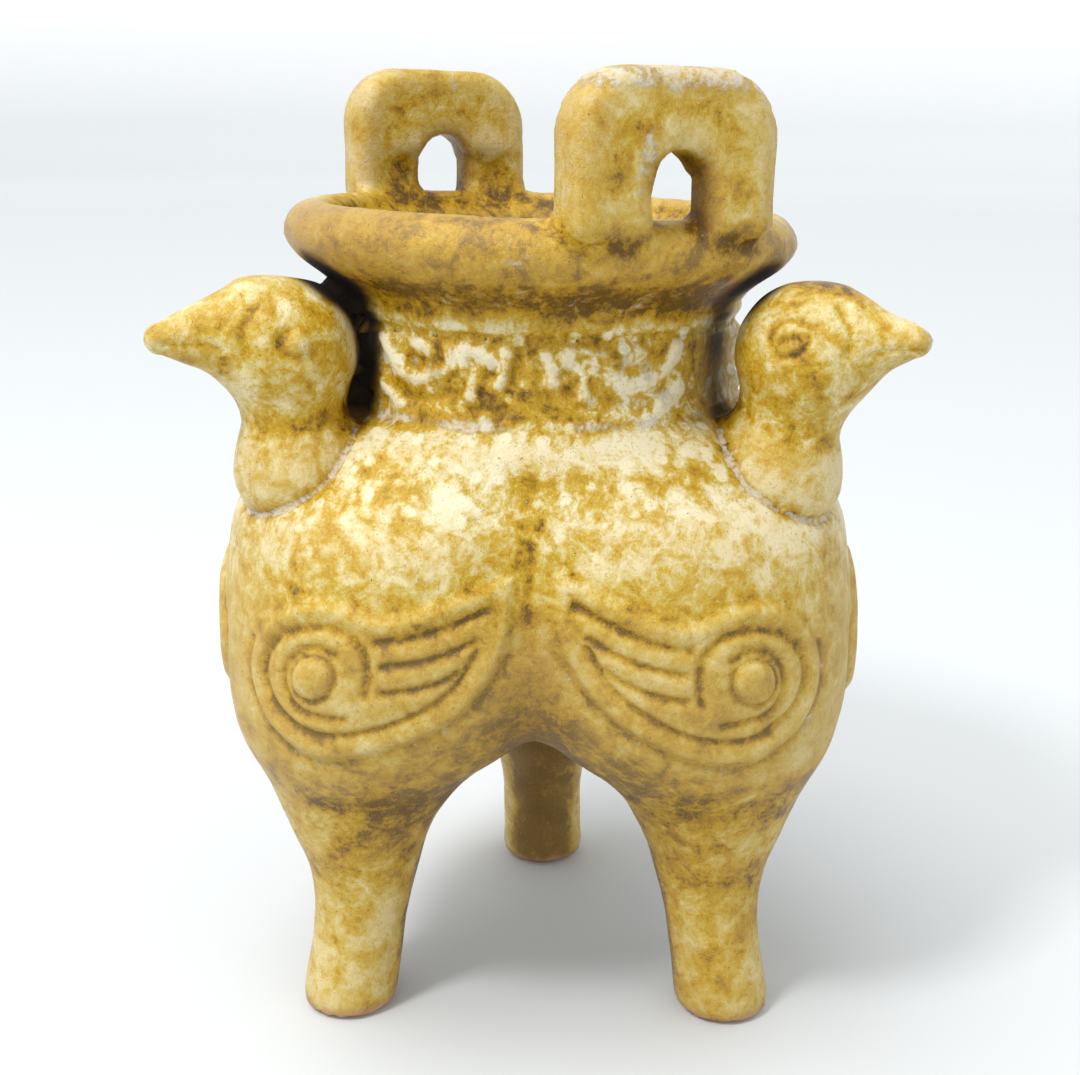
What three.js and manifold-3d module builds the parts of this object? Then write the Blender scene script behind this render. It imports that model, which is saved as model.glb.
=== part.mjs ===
// Three-bird pottery censer: a hollow tripod vessel whose three bulging lobes are birds, each on
// one column leg, with a head luted on its shoulder and carved wings. All lengths are millimetres.
// The vessel axis is upright. The first bird faces -Y, the others stand a third of a turn away,
// and the two loop handles stand on the lip at -X and +X.
import * as THREE from 'three';
import { mergeVertices } from 'three/addons/utils/BufferGeometryUtils.js';
import Module from 'manifold-3d';

// How many birds share the vessel, and where the first one faces
const BIRD_COUNT = 3;
const FIRST_BIRD_TURN = -90;
const HANDLE_COUNT = 2;

// Heights of the lobe's stations, each one measured up from the station below it
const ANKLE_RISE = 15;
const SHIN_RISE = 9;
const KNEE_RISE = 9;
const THIGH_RISE = 8;
const GROIN_RISE = 8;
const LOWER_BELLY_RISE = 9;
const BELLY_RISE = 10;
const BREAST_RISE = 10;
const SHOULDER_RISE = 8;
const NAPE_RISE = 7;
const COLLAR_RISE = 5.5;
const NECK_ROOT_RISE = 5.5;

// Distance of each station's centre from the vessel axis
const FOOT_OUT = 36.3;
const ANKLE_OUT = 33.8;
const SHIN_OUT = 32.8;
const KNEE_OUT = 32.8;
const THIGH_OUT = 31.2;
const GROIN_OUT = 27.8;
const LOWER_BELLY_OUT = 23.6;
const BELLY_OUT = 21.2;
const BREAST_OUT = 19.9;
const SHOULDER_OUT = 18.5;
const NAPE_OUT = 13.8;
const COLLAR_OUT = 7.5;
const NECK_ROOT_OUT = 0.5;

// Radius of the lobe at each station
const FOOT_RADIUS = 7.7;
const ANKLE_RADIUS = 7.6;
const SHIN_RADIUS = 9;
const KNEE_RADIUS = 12.2;
const THIGH_RADIUS = 16.9;
const GROIN_RADIUS = 24.4;
const LOWER_BELLY_RADIUS = 29.7;
const BELLY_RADIUS = 31.7;
const BREAST_RADIUS = 31;
const SHOULDER_RADIUS = 29.8;
const NAPE_RADIUS = 28.6;
const COLLAR_RADIUS = 28.4;
const NECK_ROOT_RADIUS = 24.5;

// Softness of the valleys between the lobes, and the rounding under the feet
const VALLEY_SOFTNESS = 8;
const FOOT_ROUND = 2.1;

// Neck, lip and mouth
const NECK_RADIUS = 30.8;
const BAND_HEIGHT = 12.4;
const GROOVE_DEPTH = 0.7;
const GROOVE_HEIGHT = 1.2;
const FLARE_HEIGHT = 7.1;
const LIP_RADIUS = 39.8;
const LIP_HALF_HEIGHT = 4;
const LIP_HALF_THICKNESS = 5;
const FLARE_BEND_OUT = 0.8;
const ROLL_FROM = -60;
const ROLL_TO = 135;
const MOUTH_DEPTH = 17;
const WALL = 5;
const MOUTH_LEAN = 0.03;

// Loop handles
const HANDLE_RISE = 20;
const HANDLE_WIDTH = 31.6;
const HANDLE_THICKNESS = 8.6;
const HANDLE_OUT = 36.1;
const HANDLE_CORNER = 10;
const HANDLE_EDGE = 2.2;
const HANDLE_SINK = 2.6;
const HANDLE_HOLE_WIDTH = 10.6;
const HANDLE_BAR = 10.7;

// Bird heads and the neck pieces they stand on
const FIRST_HEAD_OUT = 42.3;
const SIDE_HEAD_OUT = 45;
const HEAD_RISE = 17.4;
const HEAD_RADIUS = 10.5;
const BEAK_TIP_OUT = 63.4;
const BEAK_TIP_RISE = 2.2;
const BEAK_TIP_RADIUS = 2.4;
const BEAK_ROOT_RADIUS = 8.4;
const BEAK_ROOT_OUT = 4.6;
const BEAK_ROOT_RISE = 2.3;
const HEAD_SOFTNESS = 4;
const THROAT_SOFTNESS = 4;
const WAIST_DROP = 10;
const WAIST_RADIUS = 7;
const BULB_DROP = 17.6;
const BULB_RADIUS = 9.6;
const BULB_OUT = 40.6;
const EYE_RADIUS = 2.2;
const EYE_TURN = 66;
const EYE_LIFT = 0.35;

// Carved wings, drawn on the lobe as degrees round from the breast and heights above the floor
const WING_BOSS_TURN = 35.5;
const WING_BOSS_HEIGHT = 66;
const WING_BOSS_RADIUS = 4.6;
const WING_BOSS_LIFT = 0.8;
const WING_RING_TURN = 18.5;
const WING_RING_RISE = 10;
const RING_SWEEP = 225;
const WING_CURL_TURN = 15;
const WING_CURL_DROP = 4;
const WING_TIP_TURN = 84.5;
const WING_TIP_RISE = 14.5;
const WING_SAG_TURN = 84;
const WING_SAG_DROP = 10.7;
const WING_SHOULDER_TURN = 50;
const WING_SHOULDER_RISE = 8.6;
const FEATHER_COUNT = 3;
const FEATHER_STEP = 3.7;
const FEATHER_INSET = 5;
const FEATHER_DROP = 1.5;
const RIDGE_WIDTH = 3.4;
const RIDGE_HEIGHT = 0.7;
const RIDGE_ROOT = 0.5;

// Moulded motifs on the neck band, one set over each valley
const PILLAR_WIDTH = 7;
const PILLAR_TOP = 0.5;
const SCROLL_TURN = 27;
const SCROLL_RADIUS = 3.1;
const SCROLL_SWEEP = 250;
const SCROLL_START = 60;
const MOTIF_HEIGHT = 0.8;
const MOTIF_WIDTH = 2.6;

// Facet sizes and counts
const BODY_CELL = 7.8;
const HEAD_CELL = 4.3;
const CAVITY_CELL = 9;
const ROUND_STEPS = 34;
const LEG_STEPS = 14;
const FOOT_STEPS = 2;
const FLARE_STEPS = 3;
const ROLL_STEPS = 6;
const RING_STEPS = 12;
const SWEEP_STEPS = 5;
const RIDGE_STEPS = 4;
const DOME_SIDE_COUNT = 8;
const DOME_ROW_COUNT = 4;
const MARGIN_CELL_COUNT = 2;
const SETTLE_STEPS = 6;
const PROBE = 0.05;
const OVERSHOOT = 4;

// Colour and surface of the glaze
const GLAZE_COLOUR = 0xb89e5a;
const GLAZE_ROUGHNESS = 0.32;

const RADIAN = Math.PI / 180;
const birdTurn = (bird) => (FIRST_BIRD_TURN + bird * 360 / BIRD_COUNT) * RADIAN;
const BIRD_TURNS = Array.from({ length: BIRD_COUNT }, (_, bird) => birdTurn(bird));

const wasm = await Module();
wasm.setup();

// The lobe's stations from the foot up to the root of the neck
const RISES = [
  0, ANKLE_RISE, SHIN_RISE, KNEE_RISE, THIGH_RISE, GROIN_RISE, LOWER_BELLY_RISE,
  BELLY_RISE, BREAST_RISE, SHOULDER_RISE, NAPE_RISE, COLLAR_RISE, NECK_ROOT_RISE,
];
const OUTS = [
  FOOT_OUT, ANKLE_OUT, SHIN_OUT, KNEE_OUT, THIGH_OUT, GROIN_OUT, LOWER_BELLY_OUT,
  BELLY_OUT, BREAST_OUT, SHOULDER_OUT, NAPE_OUT, COLLAR_OUT, NECK_ROOT_OUT,
];
const RADII = [
  FOOT_RADIUS, ANKLE_RADIUS, SHIN_RADIUS, KNEE_RADIUS, THIGH_RADIUS, GROIN_RADIUS, LOWER_BELLY_RADIUS,
  BELLY_RADIUS, BREAST_RADIUS, SHOULDER_RADIUS, NAPE_RADIUS, COLLAR_RADIUS, NECK_ROOT_RADIUS,
];
const HEIGHTS = RISES.map((_, i) => RISES.slice(0, i + 1).reduce((sum, rise) => sum + rise, 0));
const LAST = HEIGHTS.length - 1;
const ROOT_HEIGHT = HEIGHTS[LAST];
const COLLAR_HEIGHT = HEIGHTS[LAST - 1];
const NAPE_HEIGHT = HEIGHTS[LAST - 2];
const KNEE_HEIGHT = HEIGHTS[3];
const THIGH_HEIGHT = HEIGHTS[4];

// Neck and lip heights
const NECK_FOOT = (COLLAR_HEIGHT + ROOT_HEIGHT) / 2;
const GROOVE_Z = NECK_FOOT + BAND_HEIGHT;
const LIP_UNDER = GROOVE_Z + GROOVE_HEIGHT + FLARE_HEIGHT;
const LIP_MIDDLE = LIP_UNDER + LIP_HALF_HEIGHT;
const LIP_CREST = LIP_MIDDLE + LIP_HALF_HEIGHT;
const LIP_CENTRE = LIP_RADIUS - LIP_HALF_THICKNESS;
const BORE_RADIUS = NECK_RADIUS - WALL;
const HANDLE_TOP = LIP_CREST + HANDLE_RISE;

// Smooth curve through the stations, with slopes taken from the neighbours on both sides
function through(values, z) {
  const height = Math.min(Math.max(z, HEIGHTS[0]), ROOT_HEIGHT);
  let i = 0;
  while (i < LAST - 1 && height > HEIGHTS[i + 1]) i += 1;
  const slope = (k) => {
    const low = Math.max(k - 1, 0);
    const high = Math.min(k + 1, LAST);
    return (values[high] - values[low]) / (HEIGHTS[high] - HEIGHTS[low]);
  };
  const span = HEIGHTS[i + 1] - HEIGHTS[i];
  const s = (height - HEIGHTS[i]) / span;
  const a = values[i];
  const b = values[i + 1];
  const lead = s * (1 - s) * (1 - s) * span * slope(i);
  const tail = s * s * (s - 1) * span * slope(i + 1);
  return a + (b - a) * s * s * (3 - 2 * s) + lead + tail;
}

function softMin(a, b, softness) {
  const h = Math.max(softness - Math.abs(a - b), 0) / softness;
  return Math.min(a, b) - h * h * softness / 4;
}

function softMax(a, b, softness) {
  return -softMin(-a, -b, softness);
}

// Signed distance-like field of the three lobes and legs, negative inside the clay
function bodyField(p) {
  const out = through(OUTS, p.z);
  const radius = through(RADII, p.z);
  const each = BIRD_TURNS.map((turn) => {
    const across = p.x - out * Math.cos(turn);
    const along = p.y - out * Math.sin(turn);
    return Math.hypot(across, along) - radius;
  });
  return Math.max(each.reduce((a, b) => softMin(a, b, VALLEY_SOFTNESS)), p.z - ROOT_HEIGHT);
}

// The hollow follows the outside at one wall's distance and stops above the legs
function cavityField(p) {
  const inset = bodyField(p) / Math.max(gradient(bodyField, p).length(), 1) + WALL;
  const floor = THIGH_HEIGHT + WALL - p.z;
  return Math.max(softMax(inset, floor, VALLEY_SOFTNESS), p.z - COLLAR_HEIGHT);
}

function roundCone(p, from, fromRadius, to, toRadius) {
  const axis = to.clone().sub(from);
  const s = Math.min(Math.max(p.clone().sub(from).dot(axis) / axis.lengthSq(), 0), 1);
  const radius = fromRadius + (toRadius - fromRadius) * s;
  return p.distanceTo(from.clone().addScaledVector(axis, s)) - radius;
}

// One head with its beak and neck piece, for a bird that faces +X
function headField(p, headOut) {
  const head = new THREE.Vector3(headOut, 0, NAPE_HEIGHT + HEAD_RISE);
  const beakRoot = head.clone().add(new THREE.Vector3(BEAK_ROOT_OUT, 0, BEAK_ROOT_RISE));
  const tip = new THREE.Vector3(BEAK_TIP_OUT - BEAK_TIP_RADIUS, 0, head.z + BEAK_TIP_RISE);
  const waist = new THREE.Vector3((headOut + BULB_OUT) / 2, 0, head.z - WAIST_DROP);
  const bulb = new THREE.Vector3(BULB_OUT, 0, head.z - BULB_DROP);
  const keel = bulb.clone().add(new THREE.Vector3(-BULB_RADIUS / 2, 0, -BULB_RADIUS / 2));
  const skull = p.distanceTo(head) - HEAD_RADIUS;
  const beak = roundCone(p, beakRoot, BEAK_ROOT_RADIUS, tip, BEAK_TIP_RADIUS);
  const neck = softMin(
    roundCone(p, waist, WAIST_RADIUS, bulb, BULB_RADIUS),
    roundCone(p, bulb, BULB_RADIUS, keel, BULB_RADIUS),
    HEAD_SOFTNESS,
  );
  return softMin(softMin(skull, beak, HEAD_SOFTNESS), neck, THROAT_SOFTNESS);
}

function gradient(field, p) {
  const probe = (x, y, z) => field(new THREE.Vector3(p.x + x, p.y + y, p.z + z));
  return new THREE.Vector3(
    probe(PROBE, 0, 0) - probe(-PROBE, 0, 0),
    probe(0, PROBE, 0) - probe(0, -PROBE, 0),
    probe(0, 0, PROBE) - probe(0, 0, -PROBE),
  ).divideScalar(2 * PROBE);
}

// Moves a point along the field's slope until it lies on the surface, or a given lift above it
function settle(field, p, reach, lift = 0) {
  const q = p.clone();
  for (let n = 0; n < SETTLE_STEPS; n += 1) {
    const g = gradient(field, q);
    const step = g.multiplyScalar(-(field(q) - lift) / Math.max(g.lengthSq(), PROBE));
    q.add(step.clampLength(0, reach));
  }
  return q;
}

// Corners of a grid cell, its edges, and the diagonals of its six sides
const CORNERS = [[0, 0, 0], [1, 0, 0], [0, 1, 0], [1, 1, 0], [0, 0, 1], [1, 0, 1], [0, 1, 1], [1, 1, 1]];
const AXES = [[1, 0, 0], [0, 1, 0], [0, 0, 1]];
const apart = (a, b) => a.reduce((sum, value, n) => sum + Math.abs(value - b[n]), 0);
const pairsApart = (gap) => CORNERS.flatMap((a, m) => CORNERS.map((b, n) => [m, n])
  .filter(([, n]) => n > m && apart(a, CORNERS[n]) === gap));
const CELL_EDGES = pairsApart(1);
const DIAGONALS = pairsApart(2);

// Numbers the separate inside and outside regions of one cell by their lowest corner. Outside
// corners also meet across a side whose other two corners are both inside
function regionsOf(values) {
  const label = values.map((_, n) => n);
  const merge = (m, n) => {
    const [low, high] = [Math.min(label[m], label[n]), Math.max(label[m], label[n])];
    label.forEach((value, k) => {
      if (value === high) label[k] = low;
    });
  };
  CELL_EDGES.forEach(([m, n]) => {
    if ((values[m] < 0) === (values[n] < 0)) merge(m, n);
  });
  DIAGONALS.forEach(([m, n]) => {
    const between = values.filter((v, k) => {
      const corner = CORNERS[k];
      return apart(corner, CORNERS[m]) === 1 && apart(corner, CORNERS[n]) === 1;
    });
    if (values[m] >= 0 && values[n] >= 0 && between.every((v) => v < 0)) merge(m, n);
  });
  return label;
}

// Closed mesh round the region where the field is negative: one vertex for each sheet of surface
// that passes through a grid cell, one four-sided face across each grid edge the surface crosses
function netOf(field, centre, half, cell) {
  const count = half.clone().divideScalar(cell).ceil().addScalar(MARGIN_CELL_COUNT);
  const size = count.clone().add(count).addScalar(1);
  const at = (i, j, k) => (k * size.y + j) * size.x + i;
  const place = (i, j, k) => {
    const steps = new THREE.Vector3(i, j, k).sub(count);
    return steps.multiplyScalar(cell).add(centre);
  };
  const value = new Float64Array(size.x * size.y * size.z);
  const eachCell = (from, visit) => {
    for (let k = from; k < size.z - 1; k += 1) {
      for (let j = from; j < size.y - 1; j += 1) {
        for (let i = from; i < size.x - 1; i += 1) visit(i, j, k);
      }
    }
  };
  for (let k = 0; k < size.z; k += 1) {
    for (let j = 0; j < size.y; j += 1) {
      for (let i = 0; i < size.x; i += 1) value[at(i, j, k)] = field(place(i, j, k));
    }
  }
  const regions = new Map();
  const vertexOf = new Map();
  const points = [];
  eachCell(0, (i, j, k) => {
    const values = CORNERS.map((c) => value[at(i + c[0], j + c[1], k + c[2])]);
    const inside = values.filter((v) => v < 0).length;
    if (inside === 0 || inside === CORNERS.length) return;
    const label = regionsOf(values);
    regions.set(at(i, j, k), label);
    const sheets = new Map();
    CELL_EDGES.forEach(([m, n]) => {
      if ((values[m] < 0) === (values[n] < 0)) return;
      const [inner, outer] = values[m] < 0 ? [m, n] : [n, m];
      const key = label[inner] * CORNERS.length + label[outer];
      const start = place(i + CORNERS[m][0], j + CORNERS[m][1], k + CORNERS[m][2]);
      const end = place(i + CORNERS[n][0], j + CORNERS[n][1], k + CORNERS[n][2]);
      const sheet = sheets.get(key) || { sum: new THREE.Vector3(), hits: 0 };
      sheet.sum.add(start.lerp(end, values[m] / (values[m] - values[n])));
      sheet.hits += 1;
      sheets.set(key, sheet);
    });
    sheets.forEach((sheet, key) => {
      vertexOf.set(`${at(i, j, k)} ${key}`, points.length);
      points.push(settle(field, sheet.sum.divideScalar(sheet.hits), cell / 4));
    });
  });
  const faces = [];
  const addQuad = (a, b, c, d) => {
    const short = points[a].distanceTo(points[c]) < points[b].distanceTo(points[d]);
    if (short) faces.push(a, b, c, a, c, d);
    else faces.push(b, c, d, b, d, a);
  };
  eachCell(1, (i, j, k) => {
    AXES.forEach((along, n) => {
      const from = value[at(i, j, k)] < 0;
      const to = value[at(i + along[0], j + along[1], k + along[2])] < 0;
      if (from === to) return;
      const u = AXES[(n + 1) % 3];
      const v = AXES[(n + 2) % 3];
      const vertex = (s, t) => {
        const start = u.map((value_, m) => s * value_ + t * v[m]);
        const cellAt = at(i - start[0], j - start[1], k - start[2]);
        const label = regions.get(cellAt);
        const near = label[start[0] + 2 * start[1] + 4 * start[2]];
        const far = label[start[0] + along[0] + 2 * (start[1] + along[1]) + 4 * (start[2] + along[2])];
        const key = from ? near * CORNERS.length + far : far * CORNERS.length + near;
        return vertexOf.get(`${cellAt} ${key}`);
      };
      const ring = [vertex(0, 0), vertex(1, 0), vertex(1, 1), vertex(0, 1)];
      if (!from) ring.reverse();
      addQuad(...ring);
    });
  });
  return meshOf(points, faces);
}

function meshOf(points, faces) {
  const geometry = new THREE.BufferGeometry();
  geometry.setAttribute('position', new THREE.Float32BufferAttribute(points.flatMap((p) => p.toArray()), 3));
  geometry.setIndex(faces);
  return geometry;
}

// Turns a three.js geometry into a solid with its faces outward
function solidOf(geometry) {
  const bare = new THREE.BufferGeometry();
  bare.setAttribute('position', geometry.getAttribute('position').clone());
  if (geometry.index) bare.setIndex(geometry.index.clone());
  const merged = mergeVertices(bare, PROBE / 50);
  const spots = merged.getAttribute('position');
  const index = Array.from(merged.index.array);
  const corners = [];
  let volume = 0;
  for (let n = 0; n < index.length; n += 3) {
    const [a, b, c] = index.slice(n, n + 3);
    if (a === b || b === c || c === a) continue;
    corners.push(a, b, c);
    const p = new THREE.Vector3().fromBufferAttribute(spots, a);
    const q = new THREE.Vector3().fromBufferAttribute(spots, b);
    const r = new THREE.Vector3().fromBufferAttribute(spots, c);
    volume += p.dot(q.cross(r));
  }
  if (volume < 0) corners.reverse();
  const mesh = new wasm.Mesh({
    numProp: 3,
    vertProperties: new Float32Array(spots.array),
    triVerts: new Uint32Array(corners),
  });
  return new wasm.Manifold(mesh);
}

function joined(solids) {
  return solids.reduce((sum, solid) => sum.add(solid));
}

// The mouth leans: everything above the neck's foot sinks towards +Y and rises towards -Y
function leaned(geometry) {
  const spots = geometry.getAttribute('position');
  for (let n = 0; n < spots.count; n += 1) {
    const share = Math.min(Math.max((spots.getZ(n) - NECK_FOOT) / (LIP_CREST - NECK_FOOT), 0), 1);
    spots.setZ(n, spots.getZ(n) - MOUTH_LEAN * spots.getY(n) * share);
  }
  return geometry;
}

function turned(path) {
  return leaned(new THREE.LatheGeometry(path, ROUND_STEPS).rotateX(Math.PI / 2));
}

// Outside of the neck and lip, closed over the mouth at the inner end of the lip's roll
function neckSolid() {
  const wallFoot = new THREE.Vector2(NECK_RADIUS, NAPE_HEIGHT);
  const bandTop = new THREE.Vector2(NECK_RADIUS, GROOVE_Z);
  const groove = new THREE.Vector2(NECK_RADIUS - GROOVE_DEPTH, GROOVE_Z + GROOVE_HEIGHT / 2);
  const ledge = new THREE.Vector2(NECK_RADIUS + GROOVE_DEPTH, GROOVE_Z + GROOVE_HEIGHT);
  const onRoll = (degrees) => new THREE.Vector2(
    LIP_CENTRE + LIP_HALF_THICKNESS * Math.cos(degrees * RADIAN),
    LIP_MIDDLE + LIP_HALF_HEIGHT * Math.sin(degrees * RADIAN),
  );
  const bend = new THREE.Vector2(ledge.x + FLARE_BEND_OUT, (ledge.y + LIP_MIDDLE) / 2);
  const flare = new THREE.QuadraticBezierCurve(ledge, bend, onRoll(ROLL_FROM)).getPoints(FLARE_STEPS);
  const roll = [];
  const rollStep = (ROLL_TO - ROLL_FROM) / ROLL_STEPS;
  for (let n = 1; n <= ROLL_STEPS; n += 1) roll.push(onRoll(ROLL_FROM + n * rollStep));
  const foot = new THREE.Vector2(0, NAPE_HEIGHT);
  const lid = new THREE.Vector2(0, roll[roll.length - 1].y);
  return solidOf(turned([foot, wallFoot, bandTop, groove, ...flare, ...roll, lid]));
}

// The mouth and the bore through the neck, down into the hollow
function boreSolid() {
  const low = COLLAR_HEIGHT - WALL;
  const throat = new THREE.Vector2(BORE_RADIUS, LIP_CREST - MOUTH_DEPTH);
  const bend = new THREE.Vector2(BORE_RADIUS + WALL / 2, LIP_CREST - MOUTH_DEPTH / 2);
  const edge = new THREE.Vector2(LIP_CENTRE - LIP_HALF_THICKNESS / 2, LIP_CREST);
  const flare = new THREE.QuadraticBezierCurve(throat, bend, edge).getPoints(FLARE_STEPS);
  const top = LIP_CREST + OVERSHOOT;
  const path = [
    new THREE.Vector2(0, low),
    new THREE.Vector2(BORE_RADIUS, low),
    ...flare,
    new THREE.Vector2(edge.x, top),
    new THREE.Vector2(0, top),
  ];
  return solidOf(turned(path));
}

// One square-shouldered loop with an arched opening, standing on the lip at +X
function handleSolid(side) {
  const half = HANDLE_WIDTH / 2 - HANDLE_EDGE;
  const hole = HANDLE_HOLE_WIDTH / 2 + HANDLE_EDGE;
  const top = HANDLE_TOP - HANDLE_EDGE;
  const bottom = LIP_CREST - HANDLE_SINK;
  const arch = HANDLE_TOP - HANDLE_BAR + HANDLE_EDGE;
  const corner = HANDLE_CORNER - HANDLE_EDGE;
  const shape = new THREE.Shape();
  shape.moveTo(-half, bottom);
  shape.lineTo(-hole, bottom);
  shape.lineTo(-hole, arch - hole);
  shape.absarc(0, arch - hole, hole, Math.PI, 0, true);
  shape.lineTo(hole, bottom);
  shape.lineTo(half, bottom);
  shape.lineTo(half, top - corner);
  shape.absarc(half - corner, top - corner, corner, 0, Math.PI / 2, false);
  shape.absarc(corner - half, top - corner, corner, Math.PI / 2, Math.PI, false);
  shape.closePath();
  const geometry = new THREE.ExtrudeGeometry(shape, {
    depth: HANDLE_THICKNESS - 2 * HANDLE_EDGE,
    bevelEnabled: true,
    bevelThickness: HANDLE_EDGE,
    bevelSize: HANDLE_EDGE,
    bevelSegments: 2,
    curveSegments: 3,
  });
  geometry.translate(0, 0, HANDLE_EDGE - HANDLE_THICKNESS / 2);
  geometry.rotateX(Math.PI / 2).rotateZ(Math.PI / 2);
  geometry.translate(HANDLE_OUT, 0, 0);
  if (side < 0) geometry.rotateZ(Math.PI);
  return solidOf(leaned(geometry));
}

// A raised ridge whose line follows points lying on a field's surface
function ridgeSolid(field, line, width, height, widthAt = () => 1) {
  const spots = line.map((p) => settle(field, p, width));
  const rings = spots.map((p, n) => {
    const ahead = spots[Math.min(n + 1, spots.length - 1)];
    const behind = spots[Math.max(n - 1, 0)];
    const up = gradient(field, p).normalize();
    const side = ahead.clone().sub(behind).cross(up).normalize();
    const half = width / 2 * widthAt(n / (spots.length - 1));
    const rib = (across, lift) => p.clone().addScaledVector(side, across * half).addScaledVector(up, lift);
    return [rib(-1, -RIDGE_ROOT), rib(0, height), rib(1, -RIDGE_ROOT)];
  });
  const sides = rings[0].length;
  const faces = [];
  for (let n = 0; n < rings.length - 1; n += 1) {
    for (let m = 0; m < sides; m += 1) {
      const a = n * sides + m;
      const b = n * sides + (m + 1) % sides;
      faces.push(a, b, b + sides, a, b + sides, a + sides);
    }
  }
  const end = (rings.length - 1) * sides;
  faces.push(0, 2, 1, end, end + 1, end + 2);
  return solidOf(meshOf(rings.flat(), faces));
}

// A low dome whose crown stands a given lift above a field's surface
function domeGeometry(field, spot, radius, lift) {
  const up = gradient(field, spot).normalize();
  const geometry = new THREE.SphereGeometry(1, DOME_SIDE_COUNT, DOME_ROW_COUNT).rotateX(Math.PI / 2);
  geometry.scale(radius, radius, lift + radius / 4);
  geometry.applyQuaternion(new THREE.Quaternion().setFromUnitVectors(new THREE.Vector3(0, 0, 1), up));
  const centre = spot.clone().addScaledVector(up, -radius / 4);
  return geometry.translate(centre.x, centre.y, centre.z);
}

// Point of the wing drawing on one lobe, given degrees round from the breast and a height
function onLobe(bird, hand, turn, height) {
  const out = through(OUTS, height);
  const radius = through(RADII, height);
  const facing = BIRD_TURNS[bird];
  const across = facing + hand * turn * RADIAN;
  return new THREE.Vector3(
    out * Math.cos(facing) + radius * Math.cos(across),
    out * Math.sin(facing) + radius * Math.sin(across),
    height,
  );
}

// Wing of one side: spiral ring, trailing edge to the tip, leading edge, feathers and boss
function wingSolids(bird, hand) {
  const place = (turn, height) => onLobe(bird, hand, turn, height);
  const ringPoint = (degrees) => place(
    WING_BOSS_TURN - WING_RING_TURN * Math.cos(degrees * RADIAN),
    WING_BOSS_HEIGHT + WING_RING_RISE * Math.sin(degrees * RADIAN),
  );
  const curve = (from, bend, to, steps) => {
    const arc = new THREE.QuadraticBezierCurve(
      new THREE.Vector2(...from),
      new THREE.Vector2(...bend),
      new THREE.Vector2(...to),
    );
    return arc.getPoints(steps).map((p) => place(p.x, p.y));
  };
  const tip = [WING_TIP_TURN, WING_BOSS_HEIGHT + WING_TIP_RISE];
  const sag = [WING_SAG_TURN, WING_BOSS_HEIGHT - WING_SAG_DROP];
  const heel = [WING_BOSS_TURN, WING_BOSS_HEIGHT - WING_RING_RISE];
  const shoulder = [WING_SHOULDER_TURN, WING_BOSS_HEIGHT + WING_SHOULDER_RISE];
  const curl = [WING_BOSS_TURN + WING_CURL_TURN, WING_BOSS_HEIGHT - WING_CURL_DROP];
  const trailing = curve(tip, sag, heel, SWEEP_STEPS);
  const ring = [];
  for (let n = 1; n < RING_STEPS; n += 1) ring.push(ringPoint(n * RING_SWEEP / RING_STEPS - 90));
  const turnIn = [
    WING_BOSS_TURN + WING_RING_TURN * Math.SQRT1_2,
    WING_BOSS_HEIGHT + WING_RING_RISE * Math.SQRT1_2,
  ];
  const drop = [WING_BOSS_TURN + WING_RING_TURN, WING_BOSS_HEIGHT + WING_CURL_DROP];
  const edge = [...trailing, ...ring, ...curve(turnIn, drop, curl, 2)];
  const leadBend = [(tip[0] + shoulder[0]) / 2, (tip[1] + shoulder[1]) / 2 - FEATHER_STEP / 2];
  const solids = [
    ridgeSolid(bodyField, edge, RIDGE_WIDTH, RIDGE_HEIGHT),
    ridgeSolid(bodyField, curve(tip, leadBend, shoulder, RIDGE_STEPS), RIDGE_WIDTH, RIDGE_HEIGHT),
  ];
  for (let n = 1; n <= FEATHER_COUNT; n += 1) {
    const from = [WING_TIP_TURN - FEATHER_INSET - n, tip[1] - FEATHER_STEP * n - FEATHER_DROP];
    const to = [WING_BOSS_TURN + WING_RING_TURN, shoulder[1] - FEATHER_STEP * n];
    const bend = [(from[0] + to[0]) / 2, (from[1] + to[1]) / 2 - FEATHER_STEP / 3];
    solids.push(ridgeSolid(bodyField, curve(from, bend, to, RIDGE_STEPS - 1), RIDGE_WIDTH, RIDGE_HEIGHT));
  }
  const boss = settle(bodyField, place(WING_BOSS_TURN, WING_BOSS_HEIGHT), RIDGE_WIDTH);
  solids.push(solidOf(domeGeometry(bodyField, boss, WING_BOSS_RADIUS, WING_BOSS_LIFT)));
  return solids;
}

// Head, beak, neck piece and eyes of one bird
function headSolids(bird) {
  const headOut = bird === 0 ? FIRST_HEAD_OUT : SIDE_HEAD_OUT;
  const field = (p) => headField(p, headOut);
  const tipHeight = NAPE_HEIGHT + HEAD_RISE + BEAK_TIP_RISE;
  const back = Math.min(BULB_OUT - BULB_RADIUS / 2 - BULB_RADIUS, headOut - HEAD_RADIUS);
  const centre = new THREE.Vector3((back + BEAK_TIP_OUT) / 2, 0, tipHeight);
  const half = new THREE.Vector3((BEAK_TIP_OUT - back) / 2, HEAD_RADIUS, BULB_DROP + 2 * BULB_RADIUS);
  const around = (geometry) => geometry.rotateZ(BIRD_TURNS[bird]);
  const solids = [solidOf(around(netOf(field, centre, half, HEAD_CELL)))];
  [-1, 1].forEach((hand) => {
    const turn = hand * EYE_TURN * RADIAN;
    const start = new THREE.Vector3(
      headOut + HEAD_RADIUS * Math.cos(turn),
      HEAD_RADIUS * Math.sin(turn),
      NAPE_HEIGHT + HEAD_RISE + EYE_RADIUS / 2,
    );
    const spot = settle(field, start, EYE_RADIUS);
    solids.push(solidOf(around(domeGeometry(field, spot, EYE_RADIUS, EYE_LIFT))));
  });
  return solids;
}

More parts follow.
